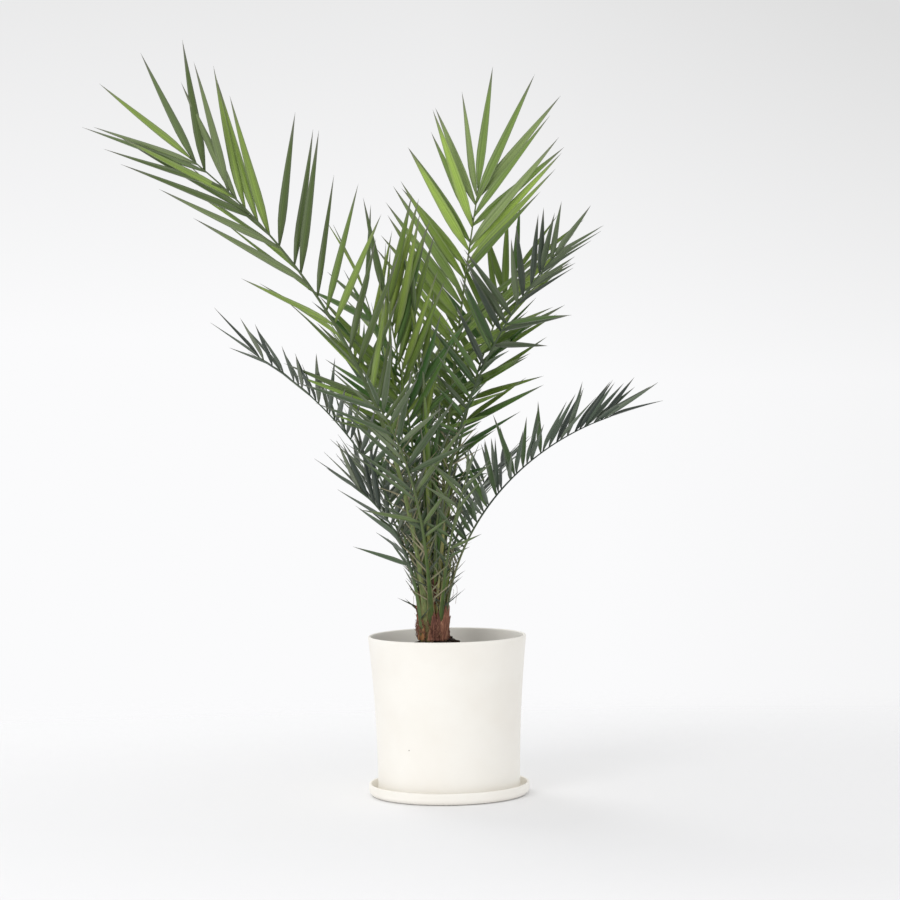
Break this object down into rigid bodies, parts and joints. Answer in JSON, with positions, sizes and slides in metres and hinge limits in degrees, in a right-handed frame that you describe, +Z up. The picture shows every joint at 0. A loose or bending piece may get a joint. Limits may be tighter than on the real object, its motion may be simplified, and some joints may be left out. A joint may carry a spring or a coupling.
{
  "type": "potted canary island date palm",
  "caption": "Young potted date palm with arching feather fronds on a short fibrous stem, in a round ceramic planter that stands on its saucer.",
  "frame": {"origin": "middle of the saucer's flat underside, on the planter's axis", "axes": "+Z up, +X to the right and +Y to the back, as the plant is seen in the picture"},
  "size_m": [1.0443, 0.7922, 1.3854],
  "materials": {
    "saucer": "satin",
    "pot": "satin",
    "soil": "matte",
    "fibre": "matte",
    "frond_bright": "satin",
    "frond_middle": "satin",
    "frond_dark": "satin"
  },
  "bodies": {
    "root": {"saucer": "saucer", "pot": "pot", "soil": "soil", "trunk": "fibre", "frond_high_left": "frond_bright", "frond_high_right": "frond_bright", "frond_right": "frond_dark", "frond_low_right": "frond_dark", "frond_left": "frond_dark", "frond_low_left": "frond_dark", "frond_front_left": "frond_middle", "frond_back_left": "frond_middle", "frond_back_right": "frond_middle", "frond_inner": "frond_middle", "frond_back": "frond_middle", "frond_rear_left": "frond_middle", "frond_low_back": "frond_dark", "frond_low_rear_left": "frond_dark", "frond_front_right": "frond_middle", "spear": "frond_middle"}
  },
  "joints": []
}
